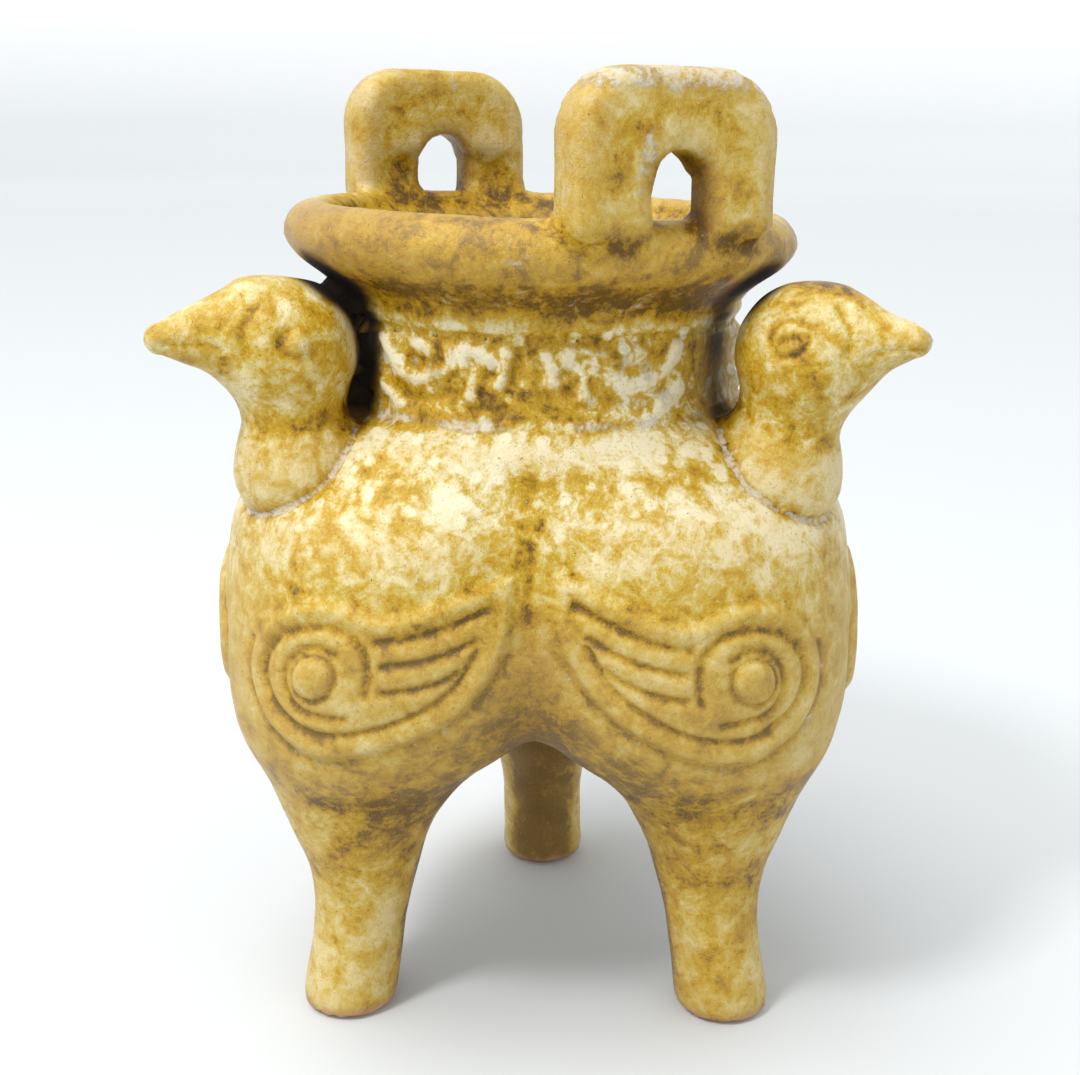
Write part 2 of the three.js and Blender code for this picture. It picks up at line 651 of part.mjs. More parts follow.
// Moulded motif over one valley: a tapering pillar between two scrolls
function motifSolids(valley) {
  const field = (p) => Math.hypot(p.x, p.y) - NECK_RADIUS;
  const place = (turn, height) => {
    const angle = valley + turn * RADIAN;
    const lean = MOUTH_LEAN * NECK_RADIUS * Math.sin(angle) * (height - NECK_FOOT) / (LIP_CREST - NECK_FOOT);
    return new THREE.Vector3(NECK_RADIUS * Math.cos(angle), NECK_RADIUS * Math.sin(angle), height - lean);
  };
  const low = NECK_FOOT + MOTIF_WIDTH;
  const high = GROOVE_Z - MOTIF_WIDTH;
  const middle = (low + high) / 2;
  const pillar = [place(0, low), place(0, middle), place(0, high)];
  const taper = (s) => 1 - (1 - PILLAR_TOP) * s;
  const solids = [ridgeSolid(field, pillar, PILLAR_WIDTH, MOTIF_HEIGHT, taper)];
  [-1, 1].forEach((hand) => {
    const line = [];
    for (let n = 0; n <= SWEEP_STEPS; n += 1) {
      const degrees = SCROLL_START + n * SCROLL_SWEEP / SWEEP_STEPS;
      const across = SCROLL_TURN + SCROLL_RADIUS * Math.cos(degrees * RADIAN) / (NECK_RADIUS * RADIAN);
      line.push(place(hand * across, middle + SCROLL_RADIUS * Math.sin(degrees * RADIAN)));
    }
    solids.push(ridgeSolid(field, line, MOTIF_WIDTH, MOTIF_HEIGHT));
  });
  return solids;
}

// The lobes above the knees, cut off level where the legs take over
function bodySolid() {
  const low = KNEE_HEIGHT - 2 * BODY_CELL;
  const field = (p) => Math.max(bodyField(p), low - p.z);
  const reach = BELLY_OUT + BELLY_RADIUS;
  const centre = new THREE.Vector3(0, 0, (ROOT_HEIGHT + low) / 2);
  const half = new THREE.Vector3(reach, reach, (ROOT_HEIGHT - low) / 2);
  return solidOf(netOf(field, centre, half, BODY_CELL)).subtract(blockBelow(KNEE_HEIGHT));
}

// One column leg, from its flat contact patch up to the knee and a little way into the lobe
function legSolid(bird) {
  const turn = BIRD_TURNS[bird];
  const rows = [];
  for (let n = 0; n <= FOOT_STEPS; n += 1) {
    const share = n / FOOT_STEPS * Math.PI / 2;
    const z = FOOT_ROUND * (1 - Math.cos(share));
    rows.push({ z, out: through(OUTS, z), radius: through(RADII, z) - FOOT_ROUND * (1 - Math.sin(share)) });
  }
  const [ankle, shin, knee] = HEIGHTS.slice(1, 4);
  const marks = [ankle, shin, (shin + knee) / 2, knee];
  marks.forEach((z) => rows.push({ z, out: through(OUTS, z), radius: through(RADII, z) }));
  rows.push({ z: KNEE_HEIGHT + FOOT_ROUND, out: KNEE_OUT, radius: KNEE_RADIUS - FOOT_ROUND });
  const points = [];
  const faces = [];
  rows.forEach((row, n) => {
    for (let m = 0; m < LEG_STEPS; m += 1) {
      const across = turn + m * 2 * Math.PI / LEG_STEPS;
      const x = row.out * Math.cos(turn) + row.radius * Math.cos(across);
      const y = row.out * Math.sin(turn) + row.radius * Math.sin(across);
      points.push(new THREE.Vector3(x, y, row.z));
      const a = n * LEG_STEPS + m;
      const b = n * LEG_STEPS + (m + 1) % LEG_STEPS;
      if (n < rows.length - 1) faces.push(a, b, b + LEG_STEPS, a, b + LEG_STEPS, a + LEG_STEPS);
    }
  });
  const end = (rows.length - 1) * LEG_STEPS;
  for (let m = 1; m < LEG_STEPS - 1; m += 1) {
    faces.push(0, m + 1, m, end, end + m, end + m + 1);
  }
  return solidOf(meshOf(points, faces));
}

function cavitySolid() {
  const reach = BELLY_OUT + BELLY_RADIUS;
  const centre = new THREE.Vector3(0, 0, ROOT_HEIGHT / 2);
  const half = new THREE.Vector3(reach, reach, ROOT_HEIGHT / 2);
  return solidOf(netOf(cavityField, centre, half, CAVITY_CELL));
}

function blockBelow(height) {
  const wide = 4 * (FOOT_OUT + FOOT_RADIUS);
  return solidOf(new THREE.BoxGeometry(wide, wide, wide).translate(0, 0, height - wide / 2));
}

const clay = [bodySolid(), neckSolid()];
BIRD_TURNS.forEach((turn, bird) => {
  clay.push(legSolid(bird));
  clay.push(...headSolids(bird));
  clay.push(...wingSolids(bird, -1));
  clay.push(...wingSolids(bird, 1));
  clay.push(...motifSolids(turn + Math.PI / BIRD_COUNT));
});
for (let n = 0; n < HANDLE_COUNT; n += 1) clay.push(handleSolid(n ? -1 : 1));
const hollow = joined([cavitySolid(), boreSolid()]);
const fired = joined(clay).subtract(hollow);

// Back to a three.js mesh, set on the floor with the origin under the middle of its bounding box
const result = fired.getMesh();
const geometry = new THREE.BufferGeometry();
geometry.setAttribute('position', new THREE.Float32BufferAttribute(result.vertProperties, 3));
geometry.setIndex(Array.from(result.triVerts));
geometry.computeBoundingBox();
const middle = geometry.boundingBox.getCenter(new THREE.Vector3());
geometry.translate(-middle.x, -middle.y, -geometry.boundingBox.min.z);
geometry.computeVertexNormals();
const glaze = new THREE.MeshStandardMaterial({
  color: GLAZE_COLOUR,
  roughness: GLAZE_ROUGHNESS,
  metalness: 0,
});
const censer = new THREE.Mesh(geometry, glaze);
censer.name = 'censer';
const group = new THREE.Group();
group.name = 'pottery_censer';
group.add(censer);

export default group;
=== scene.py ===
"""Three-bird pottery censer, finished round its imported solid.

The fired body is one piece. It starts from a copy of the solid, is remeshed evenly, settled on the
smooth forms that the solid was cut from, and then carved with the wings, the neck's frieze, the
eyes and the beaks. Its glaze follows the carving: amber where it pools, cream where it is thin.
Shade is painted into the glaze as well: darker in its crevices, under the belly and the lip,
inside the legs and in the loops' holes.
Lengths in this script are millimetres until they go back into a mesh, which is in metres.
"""
import math

import bpy
import numpy as np
from mathutils import Matrix, Vector, noise


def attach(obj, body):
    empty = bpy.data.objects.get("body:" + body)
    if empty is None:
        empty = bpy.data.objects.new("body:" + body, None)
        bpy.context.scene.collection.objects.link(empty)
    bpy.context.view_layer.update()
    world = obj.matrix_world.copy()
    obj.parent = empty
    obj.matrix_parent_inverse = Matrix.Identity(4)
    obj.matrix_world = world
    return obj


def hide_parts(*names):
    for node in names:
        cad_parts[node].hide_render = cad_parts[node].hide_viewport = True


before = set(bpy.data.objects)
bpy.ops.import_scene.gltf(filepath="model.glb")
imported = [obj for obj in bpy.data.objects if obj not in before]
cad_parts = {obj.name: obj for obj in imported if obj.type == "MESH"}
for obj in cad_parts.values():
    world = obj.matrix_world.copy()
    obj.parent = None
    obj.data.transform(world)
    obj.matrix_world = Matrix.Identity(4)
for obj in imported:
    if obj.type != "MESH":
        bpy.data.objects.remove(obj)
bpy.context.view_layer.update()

# The row frame's scale, and where the vessel's own axis stands in it
MM = 0.001
VESSEL_AXIS = np.array([0, 10.054, 0])

# The three birds: where each one faces in degrees, how far out its head stands, where the valleys
# between them lie, and how far each foot stands outward and aside of its even place
BIRD_TURNS = (-90, 30, 150)
HEAD_OUTS = (42.3, 45, 45)
VALLEY_TURNS = (-30, 90, 210)
LEG_SPLAYS = (0, -0.3, -0.3)
LEG_SIDESTEPS = (0, 0.4, 0)
LEG_SHIFT_ZONE = (10, 64)

# Lobe and leg stations: height, distance of the centre from the axis, radius
STATIONS = np.array([
    (0, 36.2, 7.8), (15, 33.7, 7.6), (24, 32.7, 8.9), (33, 32.8, 11.9), (41, 31.4, 16.2),
    (49, 27.8, 23.5), (58, 23.6, 28.9), (68, 21.2, 31.4), (78, 20, 31.4), (86, 18.8, 30.5),
    (93, 13.8, 28.8), (98.5, 7.5, 28.4), (104, 0.5, 24.5),
])
HEIGHTS, OUTS, RADII = STATIONS.T
VALLEY_SOFTNESS = 8
FOOT_SOFTNESS = 2.4
NAPE_HEIGHT = 93
COLLAR_HEIGHT = 98.5
THIGH_HEIGHT = 41
WALL = 5

# Neck, lip and mouth: heights and radii of their outlines, from the shoulder up
NECK_FOOT = 101.25
LIP_CREST = 129.95
MOUTH_LEAN = 0.03
NECK_OUTLINE = [
    (0, 94), (30.6, 94), (31.6, 100.6), (30.9, 103), (30.7, 108), (30.8, 112.4), (30.3, 113.1), (31, 113.9),
    (31.6, 115.2), (31.5, 116.2), (32.3, 117.4), (34.4, 119.2), (36.9, 120.9), (38.4, 122.3),
    (39.5, 123.9), (39.8, 125.4), (39.3, 127.1), (38.1, 128.6), (36.4, 129.6), (34.7, 129.9),
    (33.1, 129.3), (31.8, 127.6), (0, 127),
]
BORE_OUTLINE = [
    (0, 92), (25.8, 92), (25.8, 113), (26.6, 118), (28.2, 122.6), (30, 126), (31.6, 128.2),
    (32.9, 129.6), (34.2, 131.4), (34.2, 136), (0, 136),
]

# Loop handles
HANDLE_TOP = 149.95
HANDLE_WIDTH = 31.8
HANDLE_SHIFTS = (-0.6, -1.4)
HOLE_SHIFT = 0.6
HANDLE_THICKNESS = 8.6
HANDLE_OUT = 36.1
HANDLE_CORNER = 9.4
HANDLE_EDGE = 2
HANDLE_FOOT = 127.4
HOLE_WIDTH = 8.8
HANDLE_BAR = 10.7

# Bird heads, measured from the middle of the skull
HEAD_HEIGHT = 110.4
HEAD_RADIUS = 10.3
BEAK_TIP_OUT = 61
BEAK_TIP_RADIUS = 2.3
# Each beak's root, ahead and above, with its radius, then how high its tip is
BEAKS = ((6.4, 2.6, 7.5, 2.7), (5.8, 2.2, 7.1, 3.2), (5.8, 2.2, 7.1, 3.2))
WAIST_DROP = 10
WAIST_RADIUS = 7
BULB_OUT = 40.6
BULB_DROP = 17.6
BULB_RADIUS = 9.6
THROAT_SOFTNESS = 4

# Mesh sizes and how it is settled
VOXEL = 1.62
SETTLE_STEPS = 4
PROBE = 0.05
INSIDE_KEPT = 0.3
FAR = 9.0

# Millimetres of surface for one degree of turn, on the lobes and on the neck
LOBE_STEP = 0.541
NECK_STEP = 0.538

# The wing, drawn as degrees round from the breast and heights above the floor
WING_EDGE = [
    (84.5, 80.6), (78, 79.4), (68, 77.4), (58, 75.4), (50, 74.9), (43, 76.2), (33, 76.6), (23, 74.4),
    (16.6, 70.4), (14.2, 65.4), (17.4, 59.8), (25.6, 56), (38.6, 53.4), (53, 54.3), (66.6, 57.6),
    (76, 61.2), (82, 66.2), (85, 73.4),
]
WING_GROOVES = [
    [(51.6, 63.4), (51.4, 67), (48.6, 70.8), (42.6, 73.2), (35, 73.5), (26, 72), (20.4, 68.8),
     (19.4, 64.8), (22.6, 61), (29.6, 58.2), (40, 56.6), (53.4, 57.8), (66, 61.2), (74.4, 65.4), (78.6, 71)],
    [(41.6, 69.6), (36, 70.6), (29.8, 69.2), (26.8, 66), (28.6, 62.2), (35, 60), (46.4, 59.6)],
    [(52.4, 71.8), (60, 72.6), (70, 74.6), (80, 77)],
    [(54.6, 68.2), (62, 69), (70, 70.4), (77.4, 72.4)],
    [(55.4, 64.2), (62, 64.8), (69, 66), (74.6, 67.8)],
]
BOSS = (36, 65.8)
BOSS_SPREAD = 3.3
BOSS_LIFT = 1.1
WING_PLATEAU = 0.42
WING_CORD = 0.42
GROOVE_DEPTH = 0.64
GROOVE_SPREAD = 0.7
WING_WANDER = 0.35
TRENCH_TOP = 70

# The neck's frieze, drawn as millimetres round from its pillar and heights above the floor
FRIEZE_TURN = -2.5
FRIEZE_RIDGES = [
    [(2.5, 110.9), (3.6, 107.3)],
    [(5.2, 110.5), (7.3, 111.9), (9.2, 110.9), (8.5, 107.8), (8.4, 105.2)],
    [(10.8, 111.1), (11.2, 108.9), (13.1, 107.3), (15.8, 106.8), (19.5, 107.6), (22.1, 109.9), (23.3, 112)],
    [(14.4, 110.8), (16.6, 111.7)],
    [(20.4, 103.1), (23.8, 105.1)],
]
FRIEZE_GROOVES = [
    [(0.8, 111.6), (1.9, 107.6), (3, 104.2), (4.4, 101.6)],
    [(8, 109.4), (9.8, 105.8), (14.4, 103.7), (18.2, 103.9)],
]
FRIEZE_PITS = [(4.9, 108.3), (6.4, 105.6)]
FRIEZE_CRUSTS = [
    (-13.2, 107.8, 2.6), (-17, 109, 1.8), (13.6, 110.6, 2.3), (17.5, 109, 1.8), (20.5, 105, 1.6), (9, 104, 1),
]
FRIEZE_WANDER = 0.3
RIDGE_LIFT = 0.85
RIDGE_SPREAD = 1.15
PILLAR_TOP = 112
BAND_GROOVE_HEIGHT = 113.1

# Eyes and beaks, drawn from the side as distances ahead of and above the middle of the skull
EYE_LIDS = [
    [(-1.6, 4.9), (0, 5.9), (2, 5.8), (3.9, 5.2), (4.6, 5.5)],
    [(-1.6, 4.4), (-1.7, 2.8), (-0.8, 1.5), (0.9, 1), (2.5, 1.6), (3.7, 3), (3.3, 4.4)],
    [(-0.9, 2.7), (0.2, 3.3), (1.6, 3.8), (2.7, 3.4)],
]
DOMED_EYE = (1.9, 2.2)
DOMED_EYE_LINE = [(3, 4.1), (4.2, 2.8), (4, 1), (1.9, 0.2), (-0.5, 0.9)]
CERE = [(6.7, 7.4), (8, 5.9), (8.8, 4.2), (9.1, 2.8), (8.7, 1.2)]
MOUTH_LINE = [(19.6, 2.1), (16.5, 2.2), (13.6, 2), (11.6, 1.4)]
CHEEK = (5, 7.5)


def soft_min(a, b, softness):
    """The lesser of two distances, with the crease between them filled."""
    h = np.maximum(softness - np.abs(a - b), 0) / softness
    return np.minimum(a, b) - h * h * softness / 4


def soft_max(a, b, softness):
    return -soft_min(-a, -b, softness)


def smooth_step(value, start, end):
    s = np.clip((value - start) / (end - start), 0, 1)
    return s * s * (3 - 2 * s)


def station_slopes(values):
    ahead = np.minimum(np.arange(len(values)) + 1, len(values) - 1)
    behind = np.maximum(np.arange(len(values)) - 1, 0)
    return (values[ahead] - values[behind]) / (HEIGHTS[ahead] - HEIGHTS[behind])


def through(values, z):
    """Smooth curve through the stations at the heights z."""
    z = np.clip(z, HEIGHTS[0], HEIGHTS[-1])
    i = np.clip(np.searchsorted(HEIGHTS, z) - 1, 0, len(HEIGHTS) - 2)
    slopes = station_slopes(values)
    span = HEIGHTS[i + 1] - HEIGHTS[i]
    s = (z - HEIGHTS[i]) / span
    rise = (values[i + 1] - values[i]) * s * s * (3 - 2 * s)
    return values[i] + rise + s * (1 - s) ** 2 * span * slopes[i] + s * s * (s - 1) * span * slopes[i + 1]


def facing(p, turn):
    """The same points seen in the frame of something that faces that way from the vessel's axis."""
    c, s = math.cos(math.radians(turn)), math.sin(math.radians(turn))
    return np.stack([c * p[:, 0] + s * p[:, 1], c * p[:, 1] - s * p[:, 0], p[:, 2]], axis=1)


def lobes(p):
    """Distance-like field of the three lobes with their legs, negative inside."""
    out, radius = through(OUTS, p[:, 2]), through(RADII, p[:, 2])
    each = []
    low_share = 1 - smooth_step(p[:, 2], *LEG_SHIFT_ZONE)
    for turn, splay, sidestep in zip(BIRD_TURNS, LEG_SPLAYS, LEG_SIDESTEPS):
        q = facing(p, turn)
        each.append(np.hypot(q[:, 0] - out - splay * low_share, q[:, 1] - sidestep * low_share) - radius)
    return soft_min(soft_min(each[0], each[1], VALLEY_SOFTNESS), each[2], VALLEY_SOFTNESS)


def outline_distance(r, z, outline):
    """Signed distance to a closed outline that is turned round the axis."""
    corners = np.array(outline, float)
    nearest = np.full(len(r), FAR ** 2)
    inside = np.zeros(len(r), bool)
    for a, b in zip(corners, np.roll(corners, -1, axis=0)):
        along = b - a
        dr, dz = r - a[0], z - a[1]
        s = np.clip((dr * along[0] + dz * along[1]) / along.dot(along), 0, 1)
        if max(a[0], b[0]) > 0:
            nearest = np.minimum(nearest, (dr - s * along[0]) ** 2 + (dz - s * along[1]) ** 2)
        crosses = (a[1] > z) != (b[1] > z)
        if along[1]:
            inside ^= crosses & (dr < along[0] * dz / along[1])
    return np.where(inside, -1, 1) * np.sqrt(nearest)


def curved(corners, steps=5):
    """More points along a line, on a smooth curve that passes through its corners."""
    c = np.array(corners, float)
    if len(c) < 3:
        return c
    ends = np.vstack([2 * c[0] - c[1], c, 2 * c[-1] - c[-2]])
    points = []
    for i in range(1, len(ends) - 2):
        a, b, d, e = ends[i - 1:i + 3]
        for s in np.arange(steps) / steps:
            points.append((2 * b + (d - a) * s + (2 * a - 5 * b + 4 * d - e) * s * s
                           + (3 * b - a - 3 * d + e) * s ** 3) / 2)
    return np.vstack([points, c[-1]])


SMOOTH_NECK = np.vstack([NECK_OUTLINE[:1], curved(NECK_OUTLINE[1:-1], 3), NECK_OUTLINE[-1:]])
SMOOTH_BORE = np.vstack([BORE_OUTLINE[:2], curved(BORE_OUTLINE[2:9], 3), BORE_OUTLINE[9:]])


def unleaned(p):
    """Heights as they were before the mouth leaned."""
    share = np.clip((p[:, 2] - NECK_FOOT) / (LIP_CREST - NECK_FOOT), 0, 1)
    return p[:, 2] + MOUTH_LEAN * p[:, 1] * share


def neck(p):
    return outline_distance(np.hypot(p[:, 0], p[:, 1]), unleaned(p), SMOOTH_NECK)


def bore(p):
    return outline_distance(np.hypot(p[:, 0], p[:, 1]), unleaned(p), SMOOTH_BORE)


def handles(p):
    """The two square-shouldered loops, each with an arched hole down to the lip."""
    z = unleaned(p)
    shift = np.where(p[:, 0] > 0, *HANDLE_SHIFTS)
    across, ahead = np.abs(p[:, 1] - shift), np.abs(p[:, 0]) - HANDLE_OUT
    half = HANDLE_WIDTH / 2
    corner = np.where(z > (HANDLE_TOP + HANDLE_FOOT) / 2, HANDLE_CORNER, HANDLE_EDGE)
    mid, tall = (HANDLE_TOP + HANDLE_FOOT) / 2, (HANDLE_TOP - HANDLE_FOOT) / 2
    qa, qz = across - half + corner, np.abs(z - mid) - tall + corner
    block = np.hypot(np.maximum(qa, 0), np.maximum(qz, 0)) + np.minimum(np.maximum(qa, qz), 0) - corner
    arch = HANDLE_TOP - HANDLE_BAR - HOLE_WIDTH / 2
    hole = np.hypot(p[:, 1] - shift - HOLE_SHIFT, np.maximum(z - arch, 0)) - HOLE_WIDTH / 2
    face = soft_max(block, -hole, 1)
    rim, side = face + HANDLE_EDGE, np.abs(ahead) - HANDLE_THICKNESS / 2 + HANDLE_EDGE
    return np.hypot(np.maximum(rim, 0), np.maximum(side, 0)) + np.minimum(np.maximum(rim, side), 0) - HANDLE_EDGE


def round_cone(p, start, start_radius, end, end_radius):
    start, axis = np.array(start, float), np.array(end, float) - np.array(start, float)
    s = np.clip((p - start) @ axis / axis.dot(axis), 0, 1)
    return np.linalg.norm(p - start - s[:, None] * axis, axis=1) - start_radius - (end_radius - start_radius) * s


def head(q, out, beak_form):
    """One head with its beak and neck piece, in the frame of a bird that faces +X."""
    ahead, above, root_radius, tip_rise = beak_form
    root = (out + ahead, 0, HEAD_HEIGHT + above)
    tip = (BEAK_TIP_OUT, 0, HEAD_HEIGHT + tip_rise)
    waist = ((out + BULB_OUT) / 2, 0, HEAD_HEIGHT - WAIST_DROP)
    bulb = (BULB_OUT, 0, HEAD_HEIGHT - BULB_DROP)
    keel = (BULB_OUT - BULB_RADIUS / 2, 0, HEAD_HEIGHT - BULB_DROP - BULB_RADIUS / 2)
    skull = np.linalg.norm(q - (out, 0, HEAD_HEIGHT), axis=1) - HEAD_RADIUS
    beak = round_cone(q, root, root_radius, tip, BEAK_TIP_RADIUS)
    throat = soft_min(round_cone(q, waist, WAIST_RADIUS, bulb, BULB_RADIUS),
                      round_cone(q, bulb, BULB_RADIUS, keel, BULB_RADIUS), THROAT_SOFTNESS)
    return soft_min(soft_min(skull, beak, THROAT_SOFTNESS), throat, THROAT_SOFTNESS)


def heads(p):
    each = [head(facing(p, turn), out, beak) for turn, out, beak in zip(BIRD_TURNS, HEAD_OUTS, BEAKS)]
    return np.minimum(np.minimum(each[0], each[1]), each[2])


def where_near(p, near, form):
    """The form's distance at the points near it, and a far one elsewhere."""
    distance = np.full(len(p), FAR)
    if near.any():
        distance[near] = np.minimum(form(p[near]), FAR)
    return distance


def hollow(p):
    """The chamber inside the lobes, one wall in from the outside, and the bore up through the neck."""
    z = p[:, 2]
    lean = np.hypot(1, (through(RADII, z + 1) - through(RADII, z - 1)) / 2)
    chamber = soft_max(lobes(p) / lean + WALL, THIGH_HEIGHT + WALL - z, VALLEY_SOFTNESS)
    chamber = np.maximum(chamber, z - COLLAR_HEIGHT)
    return soft_min(chamber, where_near(p, z > NAPE_HEIGHT - WALL, bore), 3)


def clay(p):
    """Distance-like field of the whole fired body before it is carved."""
    z, r = p[:, 2], np.hypot(p[:, 0], p[:, 1])
    body = soft_max(np.maximum(lobes(p), z - HEIGHTS[-1]), -z, FOOT_SOFTNESS)
    solid = soft_min(body, where_near(p, z > NAPE_HEIGHT - WALL, neck), 2.4)
    solid = soft_min(solid, where_near(p, z > HANDLE_FOOT - WALL, handles), 1.6)
    # The front bird's head nearly touches the neck, so a thin web of clay closes the gap behind it
    softness = 1.2 + 2.4 * smooth_step(z, 101, 105)
    solid = soft_min(solid, where_near(p, (r > 24) & (z > 70) & (z < 126), heads), softness)
    return soft_max(solid, -hollow(p), 1.2)


def slope(form, p):
    """Value and gradient of a field, from four probes round each point."""
    arms = np.array([(1, 1, 1), (1, -1, -1), (-1, 1, -1), (-1, -1, 1)], float)
    values = [form(p + PROBE * arm) for arm in arms]
    gradient = sum(value[:, None] * arm for value, arm in zip(values, arms)) / (4 * PROBE)
    return sum(values) / 4, gradient


def settle(p, steps, reach):
    """Moves points along the field's slope until they lie on its surface."""
    for _ in range(steps):
        value, gradient = slope(clay, p)
        move = -gradient * (value / np.maximum((gradient ** 2).sum(1), 0.1))[:, None]
        length = np.maximum(np.linalg.norm(move, axis=1), 1e-9)
        p = p + move * np.minimum(1, reach / length)[:, None]
    return p


def coordinates(mesh):
    """Vertex places of a mesh, in millimetres from the vessel's axis."""
    flat = np.empty(len(mesh.vertices) * 3)
    mesh.vertices.foreach_get("co", flat)
    return flat.reshape(-1, 3) / MM - VESSEL_AXIS


def put_coordinates(mesh, p):
    mesh.vertices.foreach_set("co", ((p + VESSEL_AXIS) * MM).ravel())
    mesh.update()


def only(piece):
    """Makes one piece the only selected and active object."""
    bpy.ops.object.select_all(action="DESELECT")
    piece.select_set(True)
    bpy.context.view_layer.objects.active = piece


def apply_modifier(piece, kind, **settings):
    only(piece)
    modifier = piece.modifiers.new("shaping", kind)
    for name, value in settings.items():
        setattr(modifier, name, value)
    bpy.ops.object.modifier_apply(modifier=modifier.name)


def evened(p, mesh, rounds, share):
    """Slides each point part of the way to the middle of its neighbours."""
    ends = np.empty(len(mesh.edges) * 2, int)
    mesh.edges.foreach_get("vertices", ends)
    a, b = ends.reshape(-1, 2).T
    count = np.bincount(a, minlength=len(p)) + np.bincount(b, minlength=len(p))
    for _ in range(rounds):
        total = np.stack([np.bincount(a, p[b, k], len(p)) + np.bincount(b, p[a, k], len(p))
                          for k in range(p.shape[1])], axis=1)
        p = p + share * (total / np.maximum(count, 1)[:, None] - p)
    return p


def fine_faces(mesh, wanted, cuts):
    """Divides the faces whose points are all wanted."""
    picked = np.array([all(wanted[v] for v in face.vertices) for face in mesh.polygons])
    mesh.vertices.foreach_set("select", np.zeros(len(mesh.vertices), bool))
    mesh.edges.foreach_set("select", np.zeros(len(mesh.edges), bool))
    mesh.polygons.foreach_set("select", picked)
    bpy.ops.object.mode_set(mode="EDIT")
    bpy.ops.mesh.select_mode(type="FACE")
    bpy.ops.mesh.subdivide(number_cuts=cuts)
    bpy.ops.object.mode_set(mode="OBJECT")


def line_distance(x, y, line, smooth=True):
    """Distance from each point of a drawing to a curved line in it."""
    corners = curved(line) if smooth else np.array(line, float)
    nearest = np.full(len(x), FAR ** 2)
    for a, b in zip(corners[:-1], corners[1:]):
        along = b - a
        s = np.clip(((x - a[0]) * along[0] + (y - a[1]) * along[1]) / along.dot(along), 0, 1)
        gap_x, gap_y = x - a[0] - s * along[0], y - a[1] - s * along[1]
        nearest = np.minimum(nearest, gap_x ** 2 + gap_y ** 2)
    return np.sqrt(nearest)


def bell(distance, spread):
    return np.exp(-(distance / spread) ** 2)


def scaled(line, step):
    return [(turn * step, height) for turn, height in line]


def wing_chart(p):
    """Turn from the nearest bird's breast, in millimetres of surface, and height."""
    out = through(OUTS, p[:, 2])
    turns = []
    for turn in BIRD_TURNS:
        q = facing(p, turn)
        turns.append(np.degrees(np.arctan2(q[:, 1], q[:, 0] - out)))
    around = np.array(turns)
    nearest = np.argmin(np.abs(around), axis=0)
    turn = around[nearest, np.arange(len(p))]
    return turn * LOBE_STEP, p[:, 2], nearest


def wing_relief(p):
    """Height of the carved wings, how deep in a groove each point lies, and how far outside a wing."""
    x, y, bird = wing_chart(p)
    hand = np.sign(x)
    # No two wings are cut quite alike
    x = np.abs(x) + WING_WANDER * np.sin(y * 0.21 + bird * 2.1 + hand)
    y = y + WING_WANDER * np.sin(x * 0.19 + bird * 1.3 - hand * 0.7)
    edge = curved(scaled(WING_EDGE + WING_EDGE[:1], LOBE_STEP))
    rim = line_distance(x, y, edge, smooth=False)
    inside = np.zeros(len(x), bool)
    for a, b in zip(edge[:-1], edge[1:]):
        if a[1] != b[1]:
            crosses = (a[1] > y) != (b[1] > y)
            inside ^= crosses & (x - a[0] < (b[0] - a[0]) * (y - a[1]) / (b[1] - a[1]))
    signed = np.where(inside, -rim, rim)
    plateau = 1 - smooth_step(signed, -0.2, 1.5)
    groove = np.zeros(len(x))
    for line in WING_GROOVES:
        groove = np.maximum(groove, bell(line_distance(x, y, scaled(line, LOBE_STEP)), GROOVE_SPREAD))
    boss = np.hypot(x - BOSS[0] * LOBE_STEP, y - BOSS[1])
    dome = np.sqrt(np.maximum(1 - (boss / BOSS_SPREAD) ** 2, 0)) * BOSS_LIFT
    moat = bell(boss - BOSS_SPREAD - 0.3, 0.5) * 0.7
    trench = bell(signed - 1.9, 0.75) * (y < TRENCH_TOP)
    groove = np.maximum(groove, moat * (boss < 6)) * (plateau > 0.3)
    height = WING_PLATEAU * plateau + WING_CORD * bell(signed + 0.6, 1) + dome
    return height - GROOVE_DEPTH * groove - 0.3 * trench, np.maximum(groove, 0.75 * trench), signed


def frieze_relief(p):
    """Height of the moulded frieze on the neck, where amber glaze fills it, and its crusts."""
    around = np.degrees(np.arctan2(p[:, 1], p[:, 0]))
    offsets = np.array([(around - turn - FRIEZE_TURN + 180) % 360 - 180 for turn in VALLEY_TURNS])
    valley = np.argmin(np.abs(offsets), axis=0)
    x = offsets[valley, np.arange(len(p))] * NECK_STEP
    y = unleaned(p)
    side = np.sign(x)
    x = np.abs(x + 0.25 * np.sin(y * 0.9 + valley * 2)) + FRIEZE_WANDER * np.sin(y * 0.5 + side + valley)
    y = y + FRIEZE_WANDER * np.sin(x * 0.45 + side * 1.4 + valley)
    height, groove = np.zeros(len(x)), np.zeros(len(x))
    for line in FRIEZE_RIDGES:
        height = np.maximum(height, RIDGE_LIFT * bell(line_distance(x, y, line), RIDGE_SPREAD))
    for line in FRIEZE_GROOVES:
        groove = np.maximum(groove, bell(line_distance(x, y, line), 0.75))
    for spot in FRIEZE_PITS:
        groove = np.maximum(groove, 1.2 * bell(np.hypot(x - spot[0], y - spot[1]), 0.8))
    # The pillar widens downward from its narrow top
    pillar = smooth_step(0.6 + (PILLAR_TOP - y) * 0.36 - x, -0.7, 0.7)
    height = height * (1 - pillar) + 0.25 * pillar
    amber = 0.62 * groove + 0.5 * (groove > 1) * (groove - 1)
    low_ground = (1 - pillar) * (1 - smooth_step(height, 0.1, 0.5))
    amber = np.maximum(amber, 0.75 * pillar + 0.6 * low_ground)
    deposit = np.zeros(len(x))
    for spot_x, spot_y, spread in FRIEZE_CRUSTS:
        deposit = np.maximum(deposit, bell(np.hypot(x * side - spot_x, y - spot_y), spread))
    return height - 0.6 * groove, amber, deposit


